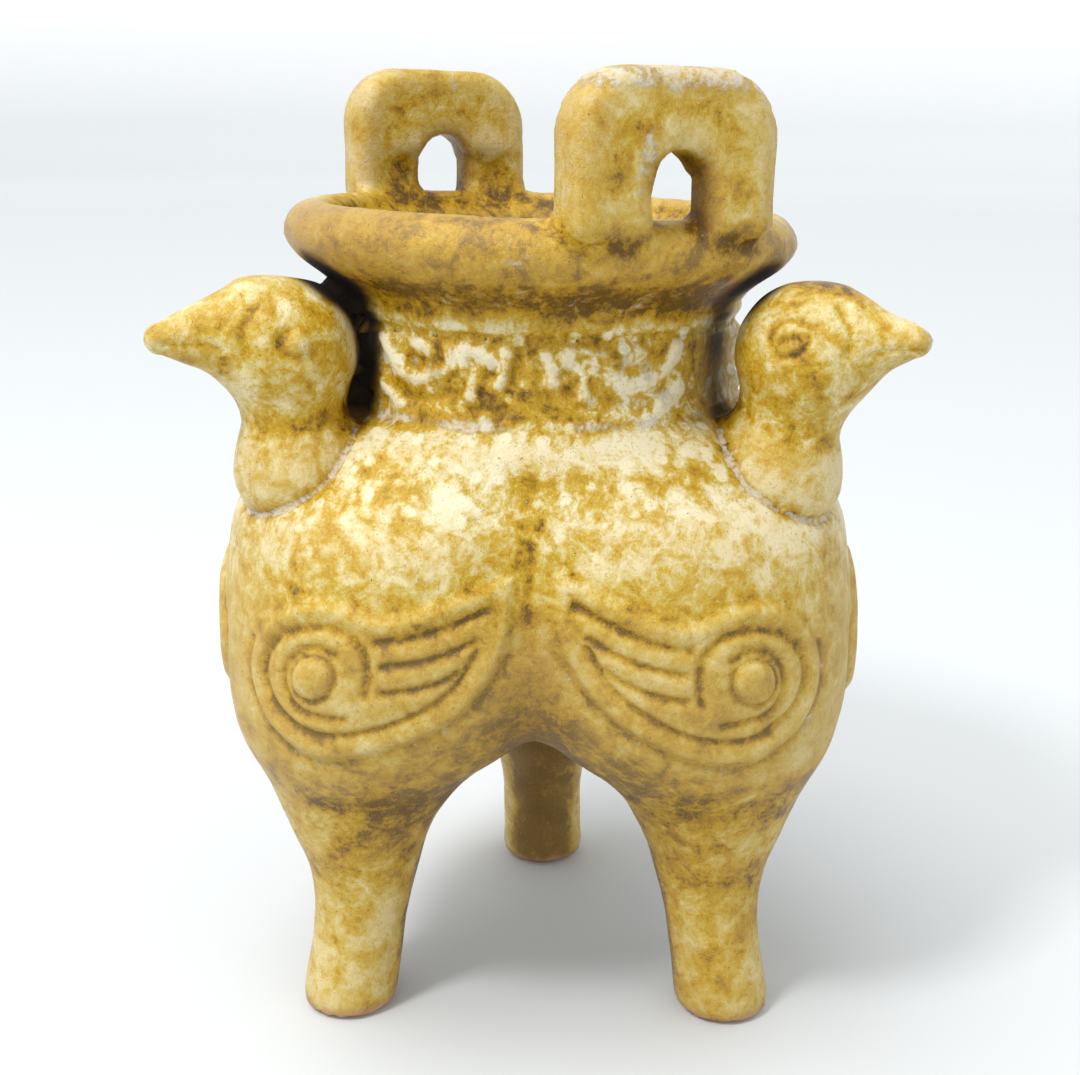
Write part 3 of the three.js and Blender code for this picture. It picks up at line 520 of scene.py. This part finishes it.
def head_relief(p):
    """Eyes, cere and mouth cut into the heads: height, and how deep in a groove."""
    height, groove = np.zeros(len(p)), np.zeros(len(p))
    for number, (turn, out) in enumerate(zip(BIRD_TURNS, HEAD_OUTS)):
        q = facing(p, turn)
        near = np.abs(head(q, out, BEAKS[number])) < 1
        ahead, above, side = q[near, 0] - out, q[near, 2] - HEAD_HEIGHT, np.abs(q[near, 1])
        cut, lift = np.zeros(near.sum()), np.zeros(near.sum())
        on_side = smooth_step(side, *CHEEK)
        if number:
            for line in EYE_LIDS:
                cut = np.maximum(cut, bell(line_distance(ahead, above, line), 0.42) * on_side)
        else:
            spot = np.hypot(ahead - DOMED_EYE[0], above - DOMED_EYE[1])
            lift = np.sqrt(np.maximum(1 - (spot / 1.7) ** 2, 0)) * 0.7 * on_side
            cut = 0.8 * bell(line_distance(ahead, above, DOMED_EYE_LINE), 0.6) * on_side
        for line, depth, spread in ((CERE, 0.75, 0.5), (MOUTH_LINE, 0.7, 0.4)):
            cut = np.maximum(cut, depth * bell(line_distance(ahead, above, line), spread) * (side > 1))
        height[near] += lift - 0.5 * cut
        groove[near] = np.maximum(groove[near], 0.42 * cut)
    return height, groove


def wander(p, scale, seed):
    """Smooth random numbers for the points, about -1 to 1."""
    shift = Vector((seed, seed * 0.7, seed * 1.3))
    return np.array([noise.noise(Vector(v) / scale + shift) for v in p])


def in_zone(value, zone):
    """Whether each value lies between the zone's two ends."""
    return (value > zone[0]) & (value < zone[1])


def within(value, rising, falling):
    """Fades in over the first pair of values and out over the second."""
    return smooth_step(value, *rising) * (1 - smooth_step(value, *falling))


# Where the parts of the surface lie: heights and distances from the axis
CHAMBER_RADIUS = 48
WING_ZONE = (46, 90)
WING_FINE_ZONE = (48, 86)
WING_FINE_REACH = 3.4
FRIEZE_ZONE = (99.5, 114)
FRIEZE_FADES = ((100.8, 102.4), (111.8, 113))
FRIEZE_RADIUS = 33.5
NECK_FINE_ZONE = (98.5, 117)
NECK_FINE_RADIUS = 33
NECK_RADIUS = 34
BAND_RADIUS = 32
HEAD_FINE_ZONE = (104, 122)
HEAD_FINE_RADIUS = 36
HEAD_RELIEF_RADIUS = 30
JOINT_TOP = 104
JOINT_REACH = 2
LUTING_REACH = 3
SEAM_ZONE = (45, 101)
SEAM_POOL_START = (60, 76)
FLARE_HEIGHT = 119
FLARE_RADIUS = 39
LIP_FALL = (128.5, 131)
HOLE_ZONE = (129, 143)
HOLE_REACH = 7
HANDLE_INNER = 28

# The fired body
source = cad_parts["censer"]
body_mesh = source.data.copy()
body_mesh.materials.clear()
fired = bpy.data.objects.new("fired_censer", body_mesh)
bpy.context.scene.collection.objects.link(fired)
only(fired)
bpy.ops.object.mode_set(mode="EDIT")
bpy.ops.mesh.select_all(action="SELECT")
bpy.ops.mesh.remove_doubles(threshold=PROBE * MM / 5)
bpy.ops.object.mode_set(mode="OBJECT")
apply_modifier(fired, "REMESH", mode="VOXEL", voxel_size=VOXEL * MM)
shape = settle(evened(coordinates(fired.data), fired.data, 2, 0.5), SETTLE_STEPS, VOXEL)
for _ in range(2):
    shape = settle(evened(shape, fired.data, 2, 0.5), 2, VOXEL)
put_coordinates(fired.data, shape)

# The chamber's wall is never seen close, so it needs fewer faces than the outside
depth = hollow(shape)
inside = in_zone(depth, (-1.5, 1)) & (shape[:, 2] < COLLAR_HEIGHT)
inside &= np.hypot(shape[:, 0], shape[:, 1]) < CHAMBER_RADIUS
group = fired.vertex_groups.new(name="chamber")
group.add(np.flatnonzero(inside & (np.abs(depth) < 0.6)).tolist(), 1.0, "REPLACE")
apply_modifier(fired, "DECIMATE", ratio=1 - (1 - INSIDE_KEPT) * inside.mean(), vertex_group="chamber")

# The carved places get finer faces
shape = coordinates(fired.data)
height, radius = shape[:, 2], np.hypot(shape[:, 0], shape[:, 1])
outside = hollow(shape) > 2
*_, wing_edge = wing_relief(shape)
at_joint = (np.abs(heads(shape)) < JOINT_REACH) & (np.abs(lobes(shape)) < JOINT_REACH)
carved = (wing_edge < WING_FINE_REACH) & in_zone(height, WING_FINE_ZONE)
carved |= in_zone(height, NECK_FINE_ZONE) & (radius < NECK_FINE_RADIUS)
carved |= in_zone(height, HEAD_FINE_ZONE) & (radius > HEAD_FINE_RADIUS)
carved |= at_joint & (height < JOINT_TOP)
fine_faces(fired.data, carved & outside, 2)
shape = settle(coordinates(fired.data), 3, VOXEL)

_, normals = slope(clay, shape)
normals /= np.maximum(np.linalg.norm(normals, axis=1), 1e-6)[:, None]
height, radius = shape[:, 2], np.hypot(shape[:, 0], shape[:, 1])
side = np.abs(shape[:, 1])
lobe, beaks = lobes(shape), heads(shape)
outside = hollow(shape) > 2
unlean = unleaned(shape)
lift = np.zeros(len(shape))
pooled_glaze_and_shade = np.zeros(len(shape))
crust = np.zeros(len(shape))

on_lobe = outside & (np.abs(lobe) < 1) & (beaks > 0.8) & in_zone(height, WING_ZONE)
rise, groove, wing_edge = wing_relief(shape[on_lobe])
lift[on_lobe] += rise
pooled_glaze_and_shade[on_lobe] = 0.75 * groove
crust[on_lobe] = 0.55 * bell(wing_edge - 2, 1.1) * (shape[on_lobe, 2] < 67)

on_neck = outside & in_zone(unlean, FRIEZE_ZONE) & (radius < FRIEZE_RADIUS) & (beaks > 0.6)
rise, amber, deposit = frieze_relief(shape[on_neck])
band = within(unlean[on_neck], *FRIEZE_FADES)
lift[on_neck] += rise * band
pooled_glaze_and_shade[on_neck] = np.maximum(pooled_glaze_and_shade[on_neck], amber * band)
crust[on_neck] = np.maximum(crust[on_neck], deposit * band)

on_head = outside & (beaks < 0.4) & (radius > HEAD_RELIEF_RADIUS)
rise, groove = head_relief(shape[on_head])
lift[on_head] += rise
pooled_glaze_and_shade[on_head] = np.maximum(pooled_glaze_and_shade[on_head], groove)

# The joint where each neck piece was luted on, the neck's foot, the line over the frieze and the
# mould's seam down each valley: each is cut a little, and glaze lies in it
luting = bell(beaks - lobe, 0.75) * outside * (beaks < LUTING_REACH) * (lobe < LUTING_REACH)
luting *= height < JOINT_TOP
foot_line = bell(unlean - 101, 0.9) * outside * (radius < NECK_RADIUS) * (beaks > 1)
band_line = bell(unlean - BAND_GROOVE_HEIGHT, 0.9) * outside * (radius < BAND_RADIUS)
around = np.degrees(np.arctan2(shape[:, 1], shape[:, 0]))
valley = np.min([np.abs((around - turn + 1 + 180) % 360 - 180) for turn in VALLEY_TURNS], axis=0)
valley = np.radians(valley) * radius
seam_wander = 1.2 * np.sin(height * 0.3) * np.sin(height * 0.11 + 1)
seam = bell(valley + seam_wander, 1.1) * outside * in_zone(height, SEAM_ZONE) * (lobe < 1)
for line, cut, amount in (
        (luting, 0.45, 0.5),
        (foot_line, 0.3, 0.4),
        (band_line, 0.15, 0.5),
        (seam, 0.28, 0.65 * smooth_step(height, *SEAM_POOL_START)),
):
    lift -= cut * line
    pooled_glaze_and_shade = np.maximum(pooled_glaze_and_shade, amount * line)

# Uneven clay from throwing, pressing and wear
uneven = 0.3 * wander(shape, 14, 3.1) + 0.12 * wander(shape, 4.5, 7.7)
standing = smooth_step(height, 0.5, 4)
put_coordinates(fired.data, shape + normals * ((lift + uneven * outside) * standing)[:, None])

# Where the form is hollowed or edged over some millimetres
carved_shape = coordinates(fired.data)
rounded = evened(carved_shape, fired.data, 8, 0.6)
dip = ((rounded - carved_shape) * normals).sum(1)
broad = evened(dip[:, None], fired.data, 4, 0.6)[:, 0]
worn = np.clip(-dip * 3.2, 0, 1)

# Painted shade in crevices: darker where another surface stands near or fairly near
near_gap, far_gap = (1 - np.clip(clay(shape + reach * normals), 0, reach) / reach for reach in (3.3, 7))
crevice_shade = smooth_step(0.75 * near_gap + 0.25 * far_gap, 0.35, 1) * outside

# Glaze lies thick in broad hollows and on the lip's outer face. Painted shade darkens the glaze toward amber
# on the legs' inner sides, on down-facing surfaces under the belly, in a band under the lip's flare
# and on the walls of the loops' holes
inward = -(normals[:, :2] * shape[:, :2]).sum(1) / np.maximum(radius, 1)
hole_wall_shade = smooth_step(-normals[:, 1] * np.sign(shape[:, 1]), 0.2, 0.8) * (side < HOLE_REACH)
hole_wall_shade *= in_zone(unlean, HOLE_ZONE) & (np.abs(shape[:, 0]) > HANDLE_INNER)
pooled_glaze_and_shade = np.maximum.reduce([
    pooled_glaze_and_shade,
    np.clip(broad * 2.4, 0, 0.8),
    1.5 * smooth_step(inward, 0.2, 0.8) * outside * (1 - smooth_step(height, 40, 56)),
    bell(unlean - FLARE_HEIGHT, 2.6) * outside * (radius < FLARE_RADIUS),
    0.85 * smooth_step(-normals[:, 2], 0.05, 0.7) * outside * (height < 66),
    0.45 * within(unlean, (119, 123), LIP_FALL),
    hole_wall_shade,
])

# Cream wash on the shoulders, neck and heads, and none on the lip
wash = within(height, (74, 92), (101, 104)) * (beaks > 0.5)
wash -= 1.2 * within(unlean, (119, 122), LIP_FALL)
wash += 1.5 * within(unlean, (101, 103), (113, 117)) * outside * (radius < NECK_RADIUS)
wash += 0.4 * (beaks < 0.4) * outside

# Dull glaze on the belly
dull = within(height, (40, 52), (66, 82)) * (1 - 0.7 * np.minimum(pooled_glaze_and_shade, 1))

# Brown stain on the loops' edges, the lip's ends and underside, the feet and the valleys, and painted shade
# on the walls of the loops' holes
loop_edge = smooth_step(side, 10, 15.5) * smooth_step(unlean, 129, 132)
stain = np.maximum.reduce([
    0.45 * loop_edge,
    0.9 * hole_wall_shade,
    0.85 * smooth_step(side, 27, 38) * smooth_step(unlean, 121, 124),
    0.25 * bell(unlean - 120.5, 2.2) * outside * (radius < 41),
    0.55 * bell(height - 1.6, 0.7),
    0.45 * bell(valley, 5) * within(height, (48, 54), (70, 80)) * outside,
])

# Pale crust in the joints, round the neck's foot and under the lip, in a patch on the lip, on the
# loops' tops, in a run down the front loop's leg and along the loops' edges
crust = np.maximum.reduce([
    crust,
    1.6 * luting,
    1.3 * foot_line * np.clip(0.6 + 1.6 * wander(shape, 9, 5.3), 0, 1),
    0.5 * bell(unlean - 118.6, 3) * outside * (radius < FLARE_RADIUS),
    0.7 * bell(np.hypot(shape[:, 1] + 22, unlean - 125), 4) * (shape[:, 0] > 20),
    (0.5 + 0.75 * (shape[:, 0] > 0)) * smooth_step(unlean, 145.5, 148),
    1.7 * bell(shape[:, 1] + 6.6, 1) * (shape[:, 0] > 36) * smooth_step(unlean, 131, 134) * (unlean < 142),
    0.55 * loop_edge * bell(side - 8, 3),
])
# No crust shows where crevice shade is painted
crust *= 1 - smooth_step(crevice_shade, 0.1, 0.4)

# Bare clay round the feet's edges
bare = 1 - smooth_step(height + 0.9 * wander(shape, 5, 1.7), 0.4, 1.4)

marked = {"pooled_glaze_and_shade": pooled_glaze_and_shade, "worn": worn, "crust": crust, "bare": bare, "wash": wash, "dull": dull,
          "stain": stain, "crevice_shade": crevice_shade}
for name, values in marked.items():
    attribute = fired.data.attributes.new(name, "FLOAT", "POINT")
    attribute.data.foreach_set("value", values.astype(np.float32))
only(fired)
bpy.ops.object.shade_smooth()


def paint(code):
    """An sRGB hex colour as linear numbers."""
    parts = [int(code[i:i + 2], 16) / 255 for i in (1, 3, 5)]
    linear = [v / 12.92 if v <= 0.04045 else ((v + 0.055) / 1.055) ** 2.4 for v in parts]
    return (*linear, 1.0)


def add(tree, kind, inputs=(), **settings):
    """Adds a node, sets what it is told and links the sockets it is given."""
    new = tree.nodes.new("ShaderNode" + kind)
    for name, value in settings.items():
        setattr(new, name, value)
    for name, value in dict(inputs).items():
        if isinstance(value, bpy.types.NodeSocket):
            tree.links.new(value, new.inputs[name])
        else:
            new.inputs[name].default_value = value
    return new


def fresh_material(name):
    material = bpy.data.materials.new(name)
    material.use_nodes = True
    tree = material.node_tree
    tree.nodes.clear()
    shader = add(tree, "BsdfPrincipled")
    add(tree, "OutputMaterial", {"Surface": shader.outputs[0]})
    return material, tree, shader


# Yellow-brown glaze over buff clay, brushed on and fired: amber where it ran thick, cream where it
# is thin, dull and scuffed on the belly, with brown iron flecks and pale crusts from burial
# Shade is painted into it too: darker amber and brown to near black in crevices, under the belly and the lip,
# inside the legs and in the loops' holes
glaze, tree, shader = fresh_material("yellow_glazed_earthenware")
place = add(tree, "TexCoord").outputs["Object"]
marks = {name: add(tree, "Attribute", attribute_name=name).outputs["Fac"] for name in marked}

# Clouds in the glaze: how many millimetres across, detail, roughness and distortion
clouds = {}
for name, size, detail, roughness, distortion in (
        ("patches", 12, 4, 0.5, 1.2),
        ("blots", 3.4, 5, 0.65, 0.6),
        ("mottle", 1.2, 5, 0.75, 0),
        ("grain", 0.5, 3, 0.75, 0),
        ("crumbs", 3.4, 8, 0.8, 0.4),
):
    clouds[name] = add(tree, "TexNoise", {"Vector": place, "Scale": 1 / (size * MM), "Detail": detail,
                                          "Roughness": roughness, "Distortion": distortion}).outputs["Fac"]
BUBBLE_SIZE = 3.4
clouds["bubbles"] = add(tree, "TexVoronoi", {"Vector": place, "Scale": 1 / (BUBBLE_SIZE * MM), "Smoothness": 0.4,
                                             "Randomness": 1.0}, feature="SMOOTH_F1").outputs["Distance"]

values = {**clouds, **marks}
values["gathered_crust"] = add(tree, "Math", {0: marks["crust"], 1: 0.22, 2: clouds["crumbs"]},
                               operation="MULTIPLY_ADD").outputs[0]

# Shares of those: of what, where a share begins, where it is full, and how much it is there
for name, whole, begins, full, most in (
        ("round_blots", "bubbles", 0.34, 0.22, 1),
        ("washed", "wash", 0, 1, 0.34),
        ("gathered", "blots", 0.62, 0.42, 1),
        ("flecks", "mottle", 0.58, 0.68, 1),
        ("pin_holes", "grain", 0.62, 0.7, 0.7),
        ("salt", "grain", 0.37, 0.28, 0.5),
        ("stained", "crumbs", 0.4, 0.6, 0.8),
        ("crusted", "gathered_crust", 0.66, 0.75, 1),
        ("crust_mottle", "mottle", 0.35, 0.55, 0.85),
        ("dull_mottle", "mottle", 0.3, 0.7, 0.2),
        # Painted shade in crevices: brown where another surface stands fairly near, near black where it stands
        # close
        ("painted_brown_shade", "crevice_shade", 0.15, 0.8, 0.8),
        ("painted_black_shade", "crevice_shade", 0.72, 1, 0.97),
):
    values[name] = add(tree, "MapRange", {"Value": values[whole], "From Min": begins, "From Max": full,
                                          "To Max": most}).outputs[0]

# Sums of those: where each begins, and what is added to it. "thin" is how thin the glaze lies:
# patches and blots, less in the hollows and where shade is painted, and more on worn edges.
for name, total, terms in (
        ("thin", -1.9, (("patches", 1.3), ("blots", 1.7), ("mottle", 1.15), ("round_blots", "washed"),
                        ("grain", 0.7), ("wash", 0.12), ("worn", 0.2), ("pooled_glaze_and_shade", -0.55))),
        ("iron", 0, (("flecks", "gathered"),)),
        ("roughness", 0.22, (("dull_mottle", 1), ("crevice_shade", 0.6), ("crusted", 0.4), ("bare", 0.4), ("dull", 0.12))),
        ("relief", clouds["grain"], (("mottle", 0.7), ("pin_holes", -0.6), ("crusted", 0.8))),
):
    for term, factor in terms:
        total = add(tree, "Math", {0: values[term], 1: values.get(factor, factor), 2: total},
                    operation="MULTIPLY_ADD").outputs[0]
    values[name] = total
values["pale"] = add(tree, "MapRange", {"Value": values["thin"], "From Min": 0.58, "From Max": 1,
                                        "To Max": 0.8}).outputs[0]

# The first colour, from thick amber to thin cream
STOPS = ((0.0, "#5e4209"), (0.16, "#8a6609"), (0.34, "#ab820b"), (0.5, "#b7921f"), (0.62, "#bca043"),
         (0.8, "#c6ae64"), (1.0, "#d3c28a"))
ramp = add(tree, "ValToRGB", {"Fac": values["thin"]})
while len(ramp.color_ramp.elements) < len(STOPS):
    ramp.color_ramp.elements.new(0.5)
for element, (where, code) in zip(ramp.color_ramp.elements, STOPS):
    element.position = where
    element.color = paint(code)
colour = ramp.outputs["Color"]

# Layers laid over it, from the first to the last: what shows it, how strongly, and its colour
for shown, strength, code in (
        ("wash", "pale", "#dfd7ba"),
        ("dull", 0.4, "#b3975a"),
        ("stain", "stained", "#74491c"),
        ("worn", 0.3, "#bf9d58"),
        ("iron", 0.5, "#7f5d16"),
        ("pin_holes", 1, "#4e3714"),
        ("salt", 1, "#ddd2ae"),
        ("crusted", "crust_mottle", "#c4bbac"),
        # Painted shade in crevices, brown and then near black
        ("painted_brown_shade", 1, "#4c300c"),
        ("painted_black_shade", 1, "#0c0703"),
        ("bare", 1, "#c99c7c"),
):
    factor = add(tree, "Math", {0: values[shown], 1: values.get(strength, strength)}, operation="MULTIPLY")
    mixed = add(tree, "Mix", {"Factor": factor.outputs[0], 6: colour, 7: paint(code)}, data_type="RGBA")
    colour = mixed.outputs[2]
tree.links.new(colour, shader.inputs["Base Color"])

# Glossy where the glaze is whole, dull on bare clay, crust and worn places
tree.links.new(values["roughness"], shader.inputs["Roughness"])
shader.inputs["IOR"].default_value = 1.5
shader.inputs["Specular IOR Level"].default_value = 0.26
bump = add(tree, "Bump", {"Strength": 0.6, "Distance": 0.0003, "Height": values["relief"]})
tree.links.new(bump.outputs[0], shader.inputs["Normal"])
fired.data.materials.append(glaze)

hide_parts("censer")
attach(fired, "root")

# The cove: a round paper floor that turns up into a low lit wall, far from the vessel. Metres from
# here on. Each step gives how far the wall rises and how much wider it gets.
COVE_RADIUS = 1.8
COVE_STEPS = ((0.01, 1.04), (0.03, 1.03), (0.06, 1.02), (0.1, 1.01), (0.15, 1.005))
GLOW_HEIGHT = 0.25
GLOW_STRENGTH = 0.42
bpy.ops.mesh.primitive_circle_add(vertices=96, radius=COVE_RADIUS, fill_type="NGON")
floor = bpy.context.object
floor.name = "studio_cove"
only(floor)
bpy.ops.object.mode_set(mode="EDIT")
bpy.ops.mesh.select_all(action="SELECT")
bpy.ops.mesh.select_mode(type="EDGE")
bpy.ops.mesh.region_to_loop()
for rise, spread in COVE_STEPS:
    bpy.ops.mesh.extrude_region_move(TRANSFORM_OT_translate={"value": (0, 0, rise)})
    bpy.ops.transform.resize(value=(spread, spread, 1))
bpy.ops.object.mode_set(mode="OBJECT")
bpy.ops.object.shade_smooth()

# Matt paper that glows a little more the higher it stands, as a lit wall would
sweep, tree, shader = fresh_material("matt_white_paper")
shader.inputs["Base Color"].default_value = paint("#c9cbcc")
shader.inputs["Roughness"].default_value = 0.9
shader.inputs["Emission Color"].default_value = paint("#ffffff")
rise = add(tree, "SeparateXYZ", {0: add(tree, "TexCoord").outputs["Object"]}).outputs["Z"]
glow = add(tree, "MapRange", {"Value": rise, "From Min": 0.0, "From Max": GLOW_HEIGHT, "To Max": GLOW_STRENGTH})
tree.links.new(glow.outputs[0], shader.inputs["Emission Strength"])
floor.data.materials.append(sweep)

# Light: an even sky, a broad key from above and a small softbox for the glints
world = bpy.data.worlds.new("studio")
bpy.context.scene.world = world
world.use_nodes = True
backdrop = world.node_tree.nodes["Background"]
backdrop.inputs["Color"].default_value = paint("#f6fafc")
backdrop.inputs["Strength"].default_value = 1.07

sun_data = bpy.data.lights.new("overcast_key", "SUN")
sun_data.energy = 1.3
sun_data.angle = math.radians(36)
sun = bpy.data.objects.new("overcast_key", sun_data)
sun.rotation_euler = (math.radians(15), 0, math.radians(-10))
bpy.context.scene.collection.objects.link(sun)

MIDDLE = Vector((0, 0.01, 0.07))
GLINT_DISTANCE = 0.9
azimuth, elevation = math.radians(-75), math.radians(50)
glint_data = bpy.data.lights.new("glint", "AREA")
glint_data.size = 0.16
glint_data.energy = 4.5
glint = bpy.data.objects.new("glint", glint_data)
glint.location = MIDDLE + GLINT_DISTANCE * Vector((
    math.cos(elevation) * math.cos(azimuth), math.cos(elevation) * math.sin(azimuth), math.sin(elevation)))
glint.rotation_euler = (MIDDLE - glint.location).to_track_quat("-Z", "Y").to_euler()
bpy.context.scene.collection.objects.link(glint)

# The camera, as it was fitted to the photo: its place, then its angles in degrees
CAMERA_PLACE = Vector((0.2131, -0.1066, 0.1469))
CAMERA_TILT = 73.66
CAMERA_TURN = 61.3
CAMERA_ROLL = 0.242
camera_data = bpy.data.cameras.new("photo_view")
camera_data.lens = 50.91
camera_data.sensor_width = 36
camera_data.sensor_fit = "HORIZONTAL"
camera_data.clip_start = 0.01
camera = bpy.data.objects.new("photo_view", camera_data)
turn, tilt, roll = (math.radians(v) for v in (CAMERA_TURN, CAMERA_TILT, CAMERA_ROLL))
camera.matrix_world = (Matrix.Translation(CAMERA_PLACE) @ Matrix.Rotation(turn, 4, "Z")
                       @ Matrix.Rotation(tilt, 4, "X") @ Matrix.Rotation(roll, 4, "Z"))
bpy.context.scene.collection.objects.link(camera)
bpy.context.scene.camera = camera
bpy.context.scene.view_settings.view_transform = "Standard"

bpy.context.view_layer.update()
